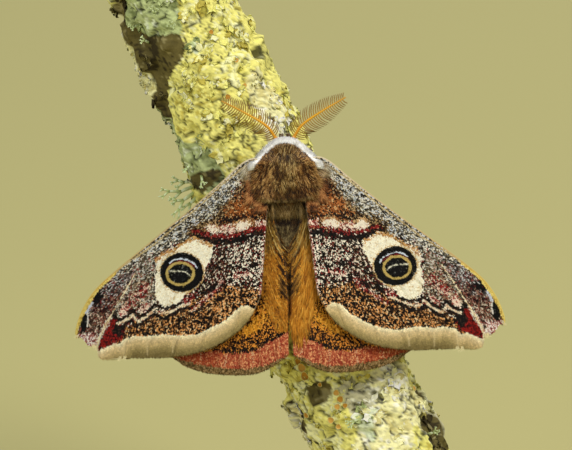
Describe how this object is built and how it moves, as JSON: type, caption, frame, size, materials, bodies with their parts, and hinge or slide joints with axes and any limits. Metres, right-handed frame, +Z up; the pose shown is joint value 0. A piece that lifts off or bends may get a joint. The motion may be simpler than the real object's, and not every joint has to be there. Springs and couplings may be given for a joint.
{
  "type": "life-size moth model on a display stand",
  "caption": "Life-size museum model of a male emperor moth at rest, wings spread, on a cut length of lichened branch that a rod holds over a round base.",
  "frame": {"origin": "on the floor at the centre of the stand's round base", "axes": "+Z up, -Y out of the moth's back towards the viewer, +X to the viewer's right, which is the moth's right side"},
  "size_m": [0.058, 0.058, 0.0763],
  "materials": {
    "base": "dark satin",
    "rod": "satin",
    "bark": "rough, lichened",
    "coat": "woolly",
    "eye": "gloss",
    "antenna": "matte",
    "forewing": "matte scales",
    "hindwing": "matte scales",
    "leg": "matte"
  },
  "bodies": {
    "root": {"stand_base": "base", "stand_rod": "rod", "perch_branch": "bark", "thorax": "coat", "head": "coat", "abdomen": "coat", "eye_l": "eye", "eye_r": "eye", "antenna_l": "antenna", "antenna_r": "antenna", "forewing_l": "forewing", "forewing_r": "forewing", "hindwing_l": "hindwing", "hindwing_r": "hindwing", "leg_fore_l": "leg", "leg_fore_r": "leg", "leg_mid_l": "leg", "leg_mid_r": "leg", "leg_hind_l": "leg", "leg_hind_r": "leg"}
  },
  "joints": []
}
